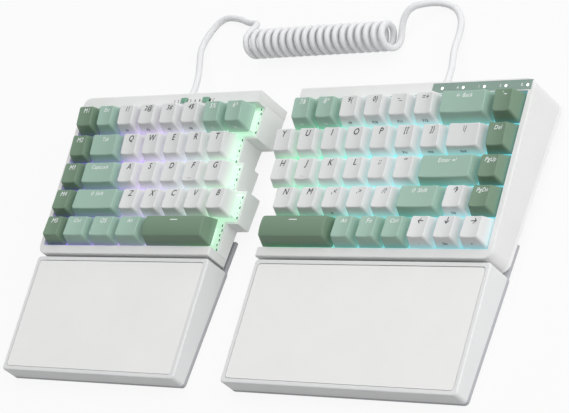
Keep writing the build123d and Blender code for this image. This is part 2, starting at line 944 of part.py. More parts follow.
def make_wrist_rest(half):
    """Base plate with its tongue, hollow shell and inset pad of one wrist rest."""
    low_x, high_x = wrist_rest_span(half)
    middle_x = (low_x + high_x) / 2
    width = high_x - low_x
    rear = case_front - rest_gap
    front = rear - rest_length
    middle_y = (front + rear) / 2
    slope = (rest_rear_height - rest_front_height) / rest_length
    middle_top = (rest_rear_height + rest_front_height) / 2
    top_plane = Plane(origin=(middle_x, middle_y, middle_top), x_dir=(1, 0, 0), z_dir=(0, -slope, 1))
    top_length = rest_length * hypot(1, slope)
    pad_width = width - 2 * pad_inset
    pad_length = top_length - 2 * pad_inset

    with BuildPart() as base:
        with BuildSketch():
            with Locations((middle_x, middle_y)):
                RectangleRounded(width, rest_length, rest_corner)
            with Locations((middle_x, rear)):
                Rectangle(
                    width - 2 * rest_tongue_inset,
                    2 * (rest_tongue_reach - rest_gap),
                )
        extrude(amount=rest_base_thickness)
    export(base, f"{half.name}_wrist_rest_base")

    with BuildPart() as shell:
        with BuildSketch(Plane.XY.offset(rest_base_thickness)):
            with Locations((middle_x, middle_y)):
                RectangleRounded(width, rest_length, rest_corner)
        extrude(amount=rest_rear_height)
        split(bisect_by=top_plane, keep=Keep.BOTTOM)
        fillet(shell.faces().sort_by(Axis.Z)[-1].edges(), rest_edge_round)
        with BuildSketch(top_plane):
            RectangleRounded(pad_width, pad_length, pad_corner)
        extrude(amount=-pad_thickness - pad_sink, mode=Mode.SUBTRACT)
    ceiling = top_plane.offset(-pad_thickness - pad_sink - rest_skin)
    with BuildPart() as cavity:
        with BuildSketch(Plane.XY.offset(rest_base_thickness)):
            with Locations((middle_x, middle_y)):
                Rectangle(width - 2 * rest_wall, rest_length - 2 * rest_wall)
        extrude(amount=rest_rear_height)
        split(bisect_by=ceiling, keep=Keep.BOTTOM)
    with BuildPart() as hollow_shell:
        add(shell.part)
        add(cavity.part, mode=Mode.SUBTRACT)
    export(hollow_shell, f"{half.name}_wrist_rest_shell")

    with BuildPart() as pad:
        with BuildSketch(top_plane.offset(-pad_sink)):
            RectangleRounded(
                pad_width - 2 * pad_groove, pad_length - 2 * pad_groove, pad_corner - pad_groove
            )
        extrude(amount=-pad_thickness)
    export(pad, f"{half.name}_wrist_rest_pad")


# Link cable

wire_radius_cable = wire_diameter / 2
coil_radius = (coil_diameter - wire_diameter) / 2
desk_z = wire_radius_cable + coil_lift
plug_face = deck_rear - deck_shift + receptacle_reach + plug_gap
boot_end = plug_face + plug_body_length + boot_length
coil_turns = coil_half_turns / 2
coil_overrun = radians(coil_overrun_angle)
coil_bends = [
    -coil_overrun,
    *(half_turn * pi for half_turn in range(coil_half_turns + 1)),
    coil_half_turns * pi + coil_overrun,
]

# Hand-placed routes, measured from the right half's grid corner; the desk height is desk_z
coil_start_x = 50.5
coil_y = 152.8
left_lead_points = (
    (left_port_place - halves_gap, 125, port_height),
    (7, 141, 9),
    (-2, 155, 5),
    (-1.5, 170, 2.6),
    (6, 180, 2.6),
    (20.5, 178.5, 2.8),
    (34.5, 172.5, 4.5),
)
right_lead_points = (
    (186, 178, 6.5),
    (200, 177, 2.6),
    (209.5, 168.5, 2.6),
    (213.5, 158, 3.2),
    (217, 141, 7),
    (right_port_place, 125, port_height),
)


def from_grid(point):
    """A cable point, moved from the right half's grid corner to the shared origin."""
    return Vector(right_grid + point[0], keys_front + point[1], point[2])


def biarc(start, start_way, end, end_way):
    """Two arcs that leave and arrive along the given ways: their joint and its way."""
    across = end - start
    ways = start_way + end_way
    spread = 4 - ways.dot(ways)
    along = across.dot(ways)
    reach = (sqrt(along**2 + spread * across.dot(across)) - along) / spread
    first = start + start_way * reach
    second = end - end_way * reach
    return (first + second) / 2, (second - first).normalized()


def coil_point(angle):
    """A point of the coil's centre line; the angle starts at the top of the first turn."""
    x = coil_start_x + coil_pitch * angle / (2 * pi)
    y = coil_y - coil_radius * sin(angle)
    return from_grid((x, y, desk_z + coil_radius + coil_radius * cos(angle)))


def coil_way(angle):
    """The direction of the coil's centre line."""
    rise = coil_pitch / (2 * pi)
    return Vector(rise, -coil_radius * cos(angle), -coil_radius * sin(angle)).normalized()


def make_coil():
    """The wound middle of the cable, one unbroken tube with short straight ends."""
    first, last = coil_bends[0], coil_bends[-1]
    first_point = coil_point(first) - coil_way(first) * wire_diameter
    last_point = coil_point(last) + coil_way(last) * wire_diameter
    with BuildPart() as coil:
        with BuildLine() as route:
            Line(first_point, coil_point(first))
            for angle, next_angle in zip(coil_bends, coil_bends[1:]):
                start, end = coil_point(angle), coil_point(next_angle)
                start_way, end_way = coil_way(angle), coil_way(next_angle)
                joint, joint_way = biarc(start, start_way, end, end_way)
                TangentArc(start, joint, tangent=start_way)
                TangentArc(joint, end, tangent=joint_way)
            Line(coil_point(last), last_point)
        with BuildSketch(Plane(origin=first_point, z_dir=coil_way(first))):
            Circle(wire_radius_cable)
        sweep(path=route.wires()[0])
    export(coil, "cable_coil")

    steps = 24
    points = [coil_point(2 * pi * step / steps) for step in range(int(coil_turns * steps))]
    gaps = [
        (points[a] - points[b]).length
        for a in range(2 * steps)
        for b in range(a + steps // 2, min(len(points), a + 2 * steps))
    ]
    print("coil: least gap to itself", round(min(gaps) - wire_diameter, 2))
    print("coil: volume", round(coil.part.volume), "section times length", end=" ")
    print(round(pi * wire_radius_cable**2 * route.wires()[0].length))
    print("coil: cable length", round(route.wires()[0].length))
    return first_point, last_point


def bend_radii(points):
    """For each corner, 0.45 of its shorter run over the tangent of half its turn."""
    run_share = 0.45
    radii = []
    for before, corner, after in zip(points, points[1:], points[2:]):
        into, out = corner - before, after - corner
        turn = radians(into.get_angle(out))
        radii.append(run_share * min(into.length, out.length) / tan(turn / 2))
    return radii


def make_lead(name, points):
    """A free stretch of the cable: straight runs joined by tangent arcs."""
    radii = bend_radii(points)
    with BuildPart() as lead:
        with BuildLine() as route:
            FilletPolyline(*points, radius=radii)
        with BuildSketch(Plane(origin=points[0], z_dir=points[1] - points[0])):
            Circle(wire_radius_cable)
        sweep(path=route.wires()[0])
    export(lead, name)
    length = route.wires()[0].length
    print(name, "radii", [round(radius, 1) for radius in radii])
    print(name, "runs", [round((b - a).length, 1) for a, b in zip(points, points[1:])])
    section = pi * wire_radius_cable**2
    print(name, "length", round(length, 1), "volume", round(lead.part.volume), end=" ")
    print("section times length", round(section * length))


def make_plug(name, x):
    """A plug in its port: metal nose, moulded body and tapered boot."""
    with BuildPart() as plug:
        with BuildSketch(Plane.XZ.offset(-plug_face)):
            with Locations((x, port_height)):
                RectangleRounded(plug_body_width, plug_body_height, plug_body_corner)
        extrude(amount=-plug_body_length)
        with BuildSketch(Plane.XZ.offset(-plug_face)):
            with Locations((x, port_height)):
                RectangleRounded(
                    plug_nose_width, plug_nose_height, (plug_nose_height - receptacle_wall) / 2
                )
        extrude(amount=plug_nose_length)
        with BuildSketch(Plane.XZ.offset(-plug_face - plug_body_length)):
            with Locations((x, port_height)):
                Circle(boot_base_radius)
        with BuildSketch(Plane.XZ.offset(-boot_end)):
            with Locations((x, port_height)):
                Circle(boot_tip_radius)
        loft()
    export(plug, name)


for half in (left, right):
    make_bottom_case(half)
    make_top_frame(half)
    make_switch_plate(half)
    make_circuit_board(half)
    make_key_switches(half)
    make_stabilisers(half)
    make_keys(half)
    make_case_screws(half)
    make_rubber_feet(half)
    make_fold_out_feet(half)
    make_wrist_rest(half)

make_slider("left_mode_switch", slider_places[0])
make_slider("left_system_switch", slider_places[1])
make_status_panel()

coil_first, coil_last = make_coil()
before_coil = coil_first - coil_way(coil_bends[0]) * coil_lead_run
after_coil = coil_last + coil_way(coil_bends[-1]) * coil_exit_run
left_port = Vector(port_places["left"][0], boot_end, port_height)
right_port = Vector(port_places["right"][0], boot_end, port_height)
left_route = [left_port, *map(from_grid, left_lead_points), before_coil, coil_first]
right_route = [coil_last, after_coil, *map(from_grid, right_lead_points), right_port]
make_lead("cable_left_lead", left_route)
make_lead("cable_right_lead", right_route)
make_plug("cable_left_plug", port_places["left"][0])
make_plug("cable_right_plug", port_places["right"][0])
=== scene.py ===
"""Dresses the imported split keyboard: two halves, two wrist rests and a coiled link cable."""
from math import cos, pi, radians, sin, sqrt

import bmesh
import bpy
from mathutils import Matrix, Vector


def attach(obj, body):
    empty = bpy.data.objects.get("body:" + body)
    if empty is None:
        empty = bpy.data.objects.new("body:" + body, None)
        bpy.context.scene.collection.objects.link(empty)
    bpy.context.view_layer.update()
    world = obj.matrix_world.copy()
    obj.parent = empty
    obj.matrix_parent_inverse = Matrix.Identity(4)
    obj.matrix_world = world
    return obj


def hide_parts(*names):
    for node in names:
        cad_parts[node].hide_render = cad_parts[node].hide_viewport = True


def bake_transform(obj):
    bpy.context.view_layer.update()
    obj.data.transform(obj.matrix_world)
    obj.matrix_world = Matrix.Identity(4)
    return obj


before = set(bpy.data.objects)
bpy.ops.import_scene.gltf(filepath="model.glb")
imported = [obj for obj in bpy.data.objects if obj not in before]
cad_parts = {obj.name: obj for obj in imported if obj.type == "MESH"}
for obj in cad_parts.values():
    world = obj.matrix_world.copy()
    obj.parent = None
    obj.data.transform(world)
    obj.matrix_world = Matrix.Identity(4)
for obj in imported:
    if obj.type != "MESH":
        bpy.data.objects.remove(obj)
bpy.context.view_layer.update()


# Room and camera
# A white table and a white room that is darker in front and on the left, photographed from the
# right, in front and above, with the camera rolled so that the rests run off to the left.

def flat_mesh_object(name, builder):
    """Turns a finished bmesh into a linked object at the origin."""
    mesh = bpy.data.meshes.new(name)
    builder.to_mesh(mesh)
    builder.free()
    thing = bpy.data.objects.new(name, mesh)
    bpy.context.collection.objects.link(thing)
    return thing


def white_table():
    """A pale matt finish that the camera and mirror rays see as nearly white paper."""
    material = bpy.data.materials.new("white_table")
    material.use_nodes = True
    nodes, links = material.node_tree.nodes, material.node_tree.links
    nodes.clear()
    out = nodes.new("ShaderNodeOutputMaterial")
    paint = nodes.new("ShaderNodeBsdfPrincipled")
    paint.inputs["Base Color"].default_value = (0.7, 0.7, 0.7, 1)
    paint.inputs["Roughness"].default_value = 0.7
    paint.inputs["Specular IOR Level"].default_value = 0.1
    paper = nodes.new("ShaderNodeEmission")
    seen = nodes.new("ShaderNodeLightPath")
    share = nodes.new("ShaderNodeMath")
    share.operation = "MULTIPLY"
    share.inputs[1].default_value = paper_share
    either = nodes.new("ShaderNodeMath")
    either.operation = "MAXIMUM"
    mix = nodes.new("ShaderNodeMixShader")
    links.new(seen.outputs["Is Camera Ray"], either.inputs[0])
    links.new(seen.outputs["Is Glossy Ray"], either.inputs[1])
    links.new(either.outputs[0], share.inputs[0])
    links.new(share.outputs[0], mix.inputs["Fac"])
    links.new(paint.outputs[0], mix.inputs[1])
    links.new(paper.outputs[0], mix.inputs[2])
    links.new(mix.outputs[0], out.inputs["Surface"])
    return material


paper_share = 0.9
table_half = 6
table = bmesh.new()
bmesh.ops.create_grid(table, x_segments=1, y_segments=1, size=table_half)
table = flat_mesh_object("table", table)
table.data.materials.append(white_table())

room = bpy.data.worlds.new("white_room")
bpy.context.scene.world = room
room.use_nodes = True
air, wires = room.node_tree.nodes, room.node_tree.links
air.clear()
room_out = air.new("ShaderNodeOutputWorld")
ambient = air.new("ShaderNodeBackground")
ambient.inputs["Color"].default_value = (0.98, 0.99, 1.0, 1)
bright_side = (0.6, 0.9, 0)
compass = air.new("ShaderNodeTexCoord")
heading = air.new("ShaderNodeVectorMath")
heading.operation = "DOT_PRODUCT"
heading.inputs[1].default_value = bright_side
brightness = air.new("ShaderNodeMapRange")
brightness.inputs["From Min"].default_value = -1
brightness.inputs["To Min"].default_value = 0.08
brightness.inputs["To Max"].default_value = 0.98
wires.new(compass.outputs["Generated"], heading.inputs[0])
wires.new(heading.outputs["Value"], brightness.inputs["Value"])
wires.new(brightness.outputs["Result"], ambient.inputs["Strength"])
backdrop = air.new("ShaderNodeBackground")
ray = air.new("ShaderNodeLightPath")
choose = air.new("ShaderNodeMixShader")
wires.new(ray.outputs["Is Camera Ray"], choose.inputs["Fac"])
wires.new(ambient.outputs[0], choose.inputs[1])
wires.new(backdrop.outputs[0], choose.inputs[2])
wires.new(choose.outputs[0], room_out.inputs["Surface"])


def soft_lamp(name, place, size, power):
    """A square area lamp aimed at the middle of the keyboard."""
    lamp = bpy.data.lights.new(name, "AREA")
    lamp.shape = "SQUARE"
    lamp.size = size
    lamp.energy = power
    thing = bpy.data.objects.new(name, lamp)
    bpy.context.collection.objects.link(thing)
    aim = keyboard_middle - Vector(place)
    facing = aim.to_track_quat("-Z", "Y").to_matrix().to_4x4()
    thing.matrix_world = Matrix.Translation(place) @ facing


keyboard_middle = Vector((0, 0, 0.02))
soft_lamp("right_window", (1.5, 0.25, 0.85), 0.9, 8.5)
soft_lamp("ceiling", (-0.2, 0.5, 1.9), 1.6, 13)

camera_data = bpy.data.cameras.new("camera")
camera_data.sensor_width = 36
camera_data.lens = 162.1
camera = bpy.data.objects.new("camera", camera_data)
bpy.context.collection.objects.link(camera)
camera_place = (1.0499, -0.5298, 1.009)
camera_right = Vector((0.738, 0.3233, -0.5923))
camera_up = Vector((0.0035, 0.8759, 0.4824))
camera_back = Vector((0.6748, -0.3581, 0.6453))
turn = Matrix((camera_right, camera_up, camera_back)).transposed().to_4x4()
camera.matrix_world = Matrix.Translation(camera_place) @ turn
bpy.context.scene.camera = camera
bpy.context.scene.view_settings.view_transform = "Standard"


# Link cable
# A round plastic-jacketed cable: a free lead from each half's plug, and between them a
# long stretch wound into a spring. The free leads lie on the table.

grid_right = -0.124425
keys_front = -0.008914
cable_width = 0.0042
coil_radius = 0.00765
coil_pitch = 0.0063
coil_turns = 18.5
coil_start = 0.0505
coil_y = 0.1528
coil_low = 0.00215
port_height = 0.0125
boot_end = 0.11503
boot_clear = 0.125
left_port = 0.016
right_port = 0.226
lead_run = 0.0105
exit_run = 0.0125
lead_steps = 10
coil_steps = 4


def from_right_grid(points):
    """Cable points measured from the right half's grid corner, in the shared frame."""
    return [(grid_right + x, keys_front + y, z) for x, y, z in points]


def spring_point(turns, radius):
    """A point of the wound stretch, counted in turns from its left end."""
    angle = 2 * pi * turns
    return (
        coil_start + coil_pitch * turns,
        coil_y - radius * sin(angle),
        coil_low + coil_radius + radius * cos(angle),
    )


def spring_way(turns):
    """The direction of the wound stretch at a place counted in turns."""
    angle = 2 * pi * turns
    rise = coil_pitch / (2 * pi)
    return Vector((rise, -coil_radius * cos(angle), -coil_radius * sin(angle))).normalized()


points_a_turn = 12
first_step = -1
last_step = int(coil_turns * points_a_turn) + 1
start_way = spring_way(first_step / points_a_turn)
end_way = spring_way(last_step / points_a_turn)
spring_start = Vector(spring_point(first_step / points_a_turn, coil_radius))
spring_end = Vector(spring_point(last_step / points_a_turn, coil_radius))
left_joint = spring_start - start_way * cable_width
right_joint = spring_end + end_way * cable_width

left_route = from_right_grid(
    [
        (left_port, boot_end, port_height),
        (left_port, boot_clear, port_height),
        (0.007, 0.141, 0.009),
        (-0.002, 0.155, 0.005),
        (-0.0015, 0.17, 0.0026),
        (0.006, 0.18, 0.0026),
        (0.0205, 0.1785, 0.0028),
        (0.0345, 0.1725, 0.0045),
        left_joint - start_way * lead_run,
        left_joint,
    ]
)
right_route = from_right_grid(
    [
        (right_port, boot_end, port_height),
        (right_port, boot_clear, port_height),
        (0.217, 0.141, 0.007),
        (0.2135, 0.158, 0.0032),
        (0.2095, 0.1685, 0.0026),
        (0.2, 0.177, 0.0026),
        (0.186, 0.178, 0.0065),
        right_joint + end_way * exit_run,
        right_joint,
    ]
)
control_radius = coil_radius / cos(pi / points_a_turn)
coil_route = from_right_grid(
    [left_joint, spring_start]
    + [
        spring_point(step / points_a_turn, control_radius)
        for step in range(first_step + 1, last_step)
    ]
    + [spring_end, right_joint]
)


def smooth_route(name, points, thickness, steps):
    """One open NURBS spline through a cable's control points, with a round section."""
    curve = bpy.data.curves.new(name, "CURVE")
    curve.dimensions = "3D"
    spline = curve.splines.new("NURBS")
    spline.points.add(len(points) - 1)
    for knot, point in zip(spline.points, points):
        knot.co = (*point, 1)
    spline.order_u = 3
    spline.use_endpoint_u = True
    spline.resolution_u = steps
    curve.bevel_depth = thickness / 2
    curve.bevel_resolution = 4
    curve.use_fill_caps = True
    thing = bpy.data.objects.new(name, curve)
    bpy.context.collection.objects.link(thing)
    return thing


def mesh_of(thing):
    """The finished mesh of a curve or text object."""
    bpy.context.view_layer.update()
    depsgraph = bpy.context.evaluated_depsgraph_get()
    return bpy.data.meshes.new_from_object(thing.evaluated_get(depsgraph))


def cable_tube(name, points, steps):
    """A mesh tube along a route, and the points that it follows."""
    line = smooth_route(name + "_line", points, 0, steps)
    path = [vertex.co[:] for vertex in mesh_of(line).vertices]
    bpy.data.objects.remove(line)
    thick = smooth_route(name + "_thick", points, cable_width, steps)
    tube = bpy.data.objects.new(name, mesh_of(thick))
    bpy.data.objects.remove(thick)
    bpy.context.collection.objects.link(tube)
    tube.data.shade_smooth()
    return tube, path


def path_length(path):
    """The length of a chain of points."""
    return sum((Vector(b) - Vector(a)).length for a, b in zip(path, path[1:]))


drift_spots = 35
grain_depth = 0.0002


def moulded_skin():
    """A group that gives moulded plastic its spark-eroded grain and faint colour drift."""
    group = bpy.data.node_groups.new("moulded_skin", "ShaderNodeTree")
    sockets = group.interface
    for name, way, kind in (
        ("Color", "INPUT", "NodeSocketColor"),
        ("Grain", "INPUT", "NodeSocketFloat"),
        ("Gloss", "INPUT", "NodeSocketFloat"),
        ("Color", "OUTPUT", "NodeSocketColor"),
        ("Height", "OUTPUT", "NodeSocketFloat"),
        ("Roughness", "OUTPUT", "NodeSocketFloat"),
    ):
        sockets.new_socket(name, in_out=way, socket_type=kind)
    nodes, links = group.nodes, group.links
    asked = nodes.new("NodeGroupInput")
    given = nodes.new("NodeGroupOutput")
    place = nodes.new("ShaderNodeTexCoord")
    fine = nodes.new("ShaderNodeTexNoise")
    fine.inputs["Detail"].default_value = 2
    broad = nodes.new("ShaderNodeTexNoise")
    broad.inputs["Scale"].default_value = drift_spots
    broad.inputs["Detail"].default_value = 2
    links.new(place.outputs["Object"], fine.inputs["Vector"])
    links.new(place.outputs["Object"], broad.inputs["Vector"])
    links.new(asked.outputs["Grain"], fine.inputs["Scale"])
    tone = nodes.new("ShaderNodeMapRange")
    tone.inputs["To Min"].default_value = 0.97
    tone.inputs["To Max"].default_value = 1.03
    links.new(broad.outputs["Fac"], tone.inputs["Value"])
    shade = nodes.new("ShaderNodeVectorMath")
    shade.operation = "SCALE"
    links.new(asked.outputs["Color"], shade.inputs[0])
    links.new(tone.outputs["Result"], shade.inputs["Scale"])
    links.new(shade.outputs["Vector"], given.inputs["Color"])
    links.new(fine.outputs["Fac"], given.inputs["Height"])
    polish = nodes.new("ShaderNodeMapRange")
    polish.inputs["To Min"].default_value = -0.05
    polish.inputs["To Max"].default_value = 0.05
    links.new(fine.outputs["Fac"], polish.inputs["Value"])
    level = nodes.new("ShaderNodeMath")
    level.operation = "ADD"
    links.new(asked.outputs["Gloss"], level.inputs[0])
    links.new(polish.outputs["Result"], level.inputs[1])
    links.new(level.outputs[0], given.inputs["Roughness"])
    return group


skin_group = moulded_skin()


def moulded_plastic(name, color, grain=1800, roughness=0.5, relief=0.04, specular=0.4):
    """Moulded plastic: colour, grain spots a metre, roughness, share of the grain's depth."""
    material = bpy.data.materials.new(name)
    material.use_nodes = True
    nodes, links = material.node_tree.nodes, material.node_tree.links
    paint = nodes["Principled BSDF"]
    paint.inputs["Specular IOR Level"].default_value = specular
    skin = nodes.new("ShaderNodeGroup")
    skin.node_tree = skin_group
    skin.inputs["Color"].default_value = (*color, 1)
    skin.inputs["Grain"].default_value = grain
    skin.inputs["Gloss"].default_value = roughness
    bump = nodes.new("ShaderNodeBump")
    bump.inputs["Strength"].default_value = relief
    bump.inputs["Distance"].default_value = grain_depth
    links.new(skin.outputs["Color"], paint.inputs["Base Color"])
    links.new(skin.outputs["Roughness"], paint.inputs["Roughness"])
    links.new(skin.outputs["Height"], bump.inputs["Height"])
    links.new(bump.outputs["Normal"], paint.inputs["Normal"])
    return material


jacket = moulded_plastic("cable_jacket", (0.8, 0.8, 0.81), grain=900, roughness=0.42)

left_lead = smooth_route("left_lead", left_route, cable_width, lead_steps)
left_lead.data.materials.append(jacket)
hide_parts("cable_left_lead")
left_path = smooth_route("left_lead_path", left_route, 0, lead_steps)
left_length = path_length([vertex.co[:] for vertex in mesh_of(left_path).vertices])
bpy.data.objects.remove(left_path)
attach(left_lead, "left_half")

right_lead, right_path = cable_tube("right_lead", right_route, lead_steps)
right_lead.data.materials.append(jacket)
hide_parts("cable_right_lead")
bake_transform(right_lead)

coil, coil_path = cable_tube("coil", coil_route, coil_steps)
coil.data.materials.append(jacket)
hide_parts("cable_coil")
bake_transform(coil)

plug_plastic = moulded_plastic("plug_plastic", (0.8, 0.8, 0.81), grain=2500, roughness=0.38)


def dress(node, *materials):
    """Gives a CAD node its finish."""
    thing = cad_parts[node]
    thing.data.materials.clear()
    for material in materials:
        thing.data.materials.append(material)


dress("cable_left_plug", plug_plastic)
dress("cable_right_plug", plug_plastic)


# Light under the keys, painted
# The light of small coloured lamps under every switch is painted as a glow onto the plate, the
# switches and the feet of the caps; no lamps stand there. The colour runs from violet on the far
# left over white and green to turquoise on the right.

tilt = radians(6)
cap_plane_height = 0.02
full_painted_glow_below = 0.001
half_of_rows = 0.19


def painted_underglow():
    """A group that gives the painted glow's colour by place along the rows, and its fall-off."""
    group = bpy.data.node_groups.new("painted_underglow", "ShaderNodeTree")
    sockets = group.interface
    sockets.new_socket("Reach", in_out="INPUT", socket_type="NodeSocketFloat")
    sockets.new_socket("Color", in_out="OUTPUT", socket_type="NodeSocketColor")
    nodes, links = group.nodes, group.links
    asked = nodes.new("NodeGroupInput")
    given = nodes.new("NodeGroupOutput")
    place = nodes.new("ShaderNodeTexCoord")
    axes = nodes.new("ShaderNodeSeparateXYZ")
    along = nodes.new("ShaderNodeMapRange")
    along.inputs["From Min"].default_value = -half_of_rows
    along.inputs["From Max"].default_value = half_of_rows
    ramp = nodes.new("ShaderNodeValToRGB")
    stops = [
        (0.0, (0.16, 0.13, 0.85)),
        (0.13, (0.42, 0.24, 0.95)),
        (0.22, (0.62, 0.46, 0.95)),
        (0.32, (0.6, 0.72, 0.8)),
        (0.385, (0.5, 0.95, 0.6)),
        (0.45, (0.5, 0.95, 0.6)),
        (0.5, (0.15, 0.85, 0.3)),
        (0.6, (0.2, 0.9, 0.6)),
        (0.7, (0.2, 0.85, 0.85)),
        (1.0, (0.15, 0.75, 0.9)),
    ]
    elements = ramp.color_ramp.elements
    for element, (position, color) in zip(elements, (stops[0], stops[-1])):
        element.position = position
        element.color = (*color, 1)
    for position, color in stops[1:-1]:
        elements.new(position).color = (*color, 1)
    lift = nodes.new("ShaderNodeVectorMath")
    lift.operation = "DOT_PRODUCT"
    lift.inputs[1].default_value = (0, -sin(tilt), cos(tilt))
    fade = nodes.new("ShaderNodeMapRange")
    fade.interpolation_type = "SMOOTHSTEP"
    bottom = cap_plane_height * cos(tilt) - keys_front * sin(tilt)
    fade.inputs["From Min"].default_value = bottom - full_painted_glow_below
    fade.inputs["To Min"].default_value = 1
    fade.inputs["To Max"].default_value = 0
    top = nodes.new("ShaderNodeMath")
    top.operation = "ADD"
    top.inputs[1].default_value = bottom
    shade = nodes.new("ShaderNodeVectorMath")
    shade.operation = "SCALE"
    links.new(place.outputs["Object"], axes.inputs[0])
    links.new(place.outputs["Object"], lift.inputs[0])
    links.new(axes.outputs["X"], along.inputs["Value"])
    links.new(along.outputs["Result"], ramp.inputs["Fac"])
    links.new(lift.outputs["Value"], fade.inputs["Value"])
    links.new(asked.outputs["Reach"], top.inputs[0])
    links.new(top.outputs[0], fade.inputs["From Max"])
    links.new(ramp.outputs["Color"], shade.inputs[0])
    links.new(fade.outputs["Result"], shade.inputs["Scale"])
    links.new(shade.outputs["Vector"], given.inputs["Color"])
    return group


painted_glow_group = painted_underglow()


def add_painted_glow(material, reach, strength):
    """Paints the light under the keys onto a finish as a glow, up to a reach over the cap bottoms.
    """
    nodes, links = material.node_tree.nodes, material.node_tree.links
    glow = nodes.new("ShaderNodeGroup")
    glow.node_tree = painted_glow_group
    glow.inputs["Reach"].default_value = reach
    paint = nodes["Principled BSDF"]
    paint.inputs["Emission Strength"].default_value = strength
    links.new(glow.outputs["Color"], paint.inputs["Emission Color"])


# Painted light: the plate and the switches glow with the light of the lamps under the keys.
whole_reach = 0.03
plate_painted_glow = 0.42
plate_paint = moulded_plastic("plate_paint", (0.8, 0.81, 0.82), grain=1500, roughness=0.4)
add_painted_glow(plate_paint, whole_reach, plate_painted_glow)
switch_plastic = moulded_plastic("switch_plastic", (0.75, 0.76, 0.78), grain=1500, roughness=0.35)
add_painted_glow(switch_plastic, whole_reach, plate_painted_glow)
for side in ("left", "right"):
    dress(side + "_switch_plate", plate_paint)
    dress(side + "_key_switches", switch_plastic)
    dress(side + "_stabilisers", switch_plastic)


# Painted shade along the plate edges
# Short dark dashes of painted shade along the open inner edge of each switch plate, in front of
# the tray's stepped wall. They lie flat on the plate and move with their half.

plate_edges = {
    "left": (
        (-0.033, -0.009, 0.010), (-0.0235, 0.0118, 0.0286), (-0.033, 0.0302, 0.0475),
        (-0.0378, 0.0491, 0.0671), (-0.0283, 0.0687, 0.0873),
    ),
    "right": (
        (0.0092, -0.009, 0.0096), (0.014, 0.0114, 0.0292), (0.0045, 0.0308, 0.0481),
        (-0.0003, 0.0497, 0.0665), (0.0092, 0.0681, 0.0873),
    ),
}
plate_front = (-0.0098, 0.0133)
shade_dash_size = (0.0006, 0.0016, 0.0003)
shade_dash_spacing = 0.0031
shade_dash_margin = 0.0009
shade_dash_stagger = 0.0008
shade_dash_lift = 0.0001
# Painted shade: the dashes are dark green marks that stand in for the shade in the gaps under the
# edge keys.
shade_dash_paint = moulded_plastic("shade_dash_paint", (0.03, 0.12, 0.05), roughness=0.6)
for side, edges in plate_edges.items():
    inward = -1 if side == "left" else 1
    shade_dashes = bmesh.new()
    for edge_x, front, rear in edges:
        count = int((rear - front) / shade_dash_spacing)
        for place in range(count):
            y = front + (place + 0.5) * (rear - front) / count
            z = plate_front[1] + (y - plate_front[0]) * sin(tilt) / cos(tilt)
            shade_dash = bmesh.ops.create_cube(shade_dashes, size=1)["verts"]
            bmesh.ops.scale(shade_dashes, verts=shade_dash, vec=shade_dash_size)
            bmesh.ops.rotate(shade_dashes, verts=shade_dash, matrix=Matrix.Rotation(tilt, 3, "X"))
            x = edge_x + inward * (shade_dash_margin + shade_dash_stagger * (place % 2))
            bmesh.ops.translate(shade_dashes, verts=shade_dash, vec=(x, y, z + shade_dash_lift))
    shade_dashes = flat_mesh_object(side + "_plate_shade_dashes", shade_dashes)
    shade_dashes.data.materials.append(shade_dash_paint)
    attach(shade_dashes, side + "_half")


# Key caps
# Hollow caps of one tall sculpted family, each row with its own slope, moulded in white,
# mint and sage plastic. A stem under each cap goes down into its switch.

pitch = 0.01905
cap_gap = 0.00095
cap_side_inset = 0.0029
front_insets = (0.0034, 0.0031, 0.0027, 0.0028, 0.004)
rear_insets = (0.0014, 0.0016, 0.0019, 0.0016, 0.001)
front_heights = (0.0092, 0.0085, 0.0074, 0.0072, 0.0092)
rear_heights = (0.0082, 0.0077, 0.0075, 0.0084, 0.0104)
dish_depth = 0.0007
crown_height = 0.001
cap_edge_round = 0.0014
cap_rim_round = 0.0006
cap_wall = 0.0013
hollow_height = 0.0054
hollow_draft = 0.0062
hollow_depth_share = 0.78
top_strips = 7
top_clearly_above = 0.0062
stem_radius, stem_length, stem_middle = 0.0027, 0.0084, 0.0012
wire_stem_radius, wire_stem_length, wire_stem_middle = 0.0019, 0.0076, 0.0016
long_wire_reach, short_wire_reach = 0.01905, 0.01194
grid_left = grid_right - 0.0369
ALL, WHITE, MINT, SAGE, DARK_INK, PALE_INK = range(-1, 5)


def key_plane(grid):
    """The tilted plane of the cap bottoms, as a matrix."""
    turn = Matrix.Rotation(tilt, 4, "X")
    return Matrix.Translation((grid, keys_front, cap_plane_height)) @ turn


def cap_profile(row, is_space):
    """Front and rear edge of a cap's top, as pairs of y and z."""
    depth = pitch - cap_gap
    crown = crown_height if is_space else 0
    front = (front_insets[row] - depth / 2, front_heights[row] + crown)
    rear = (depth / 2 - rear_insets[row], rear_heights[row] + crown)
    return front, rear


def top_point(width, row, is_space, x, along):
    """A point of a cap's top: x across it, along it from the middle towards the rear."""
    (front_y, front_z), (rear_y, rear_z) = cap_profile(row, is_space)
    length = sqrt((rear_y - front_y) ** 2 + (rear_z - front_z) ** 2)
    share = along / length + 0.5
    y = front_y + (rear_y - front_y) * share
    z = front_z + (rear_z - front_z) * share
    if is_space:
        half = length / 2
        curve = (half**2 + crown_height**2) / (2 * crown_height)
        z = (front_z + rear_z) / 2 - curve + sqrt(curve**2 - min(abs(along), half) ** 2)
    else:
        half = width / 2 - cap_side_inset
        z -= dish_depth * (1 - min(abs(x) / half, 1) ** 2)
    return Vector((x, y, z))


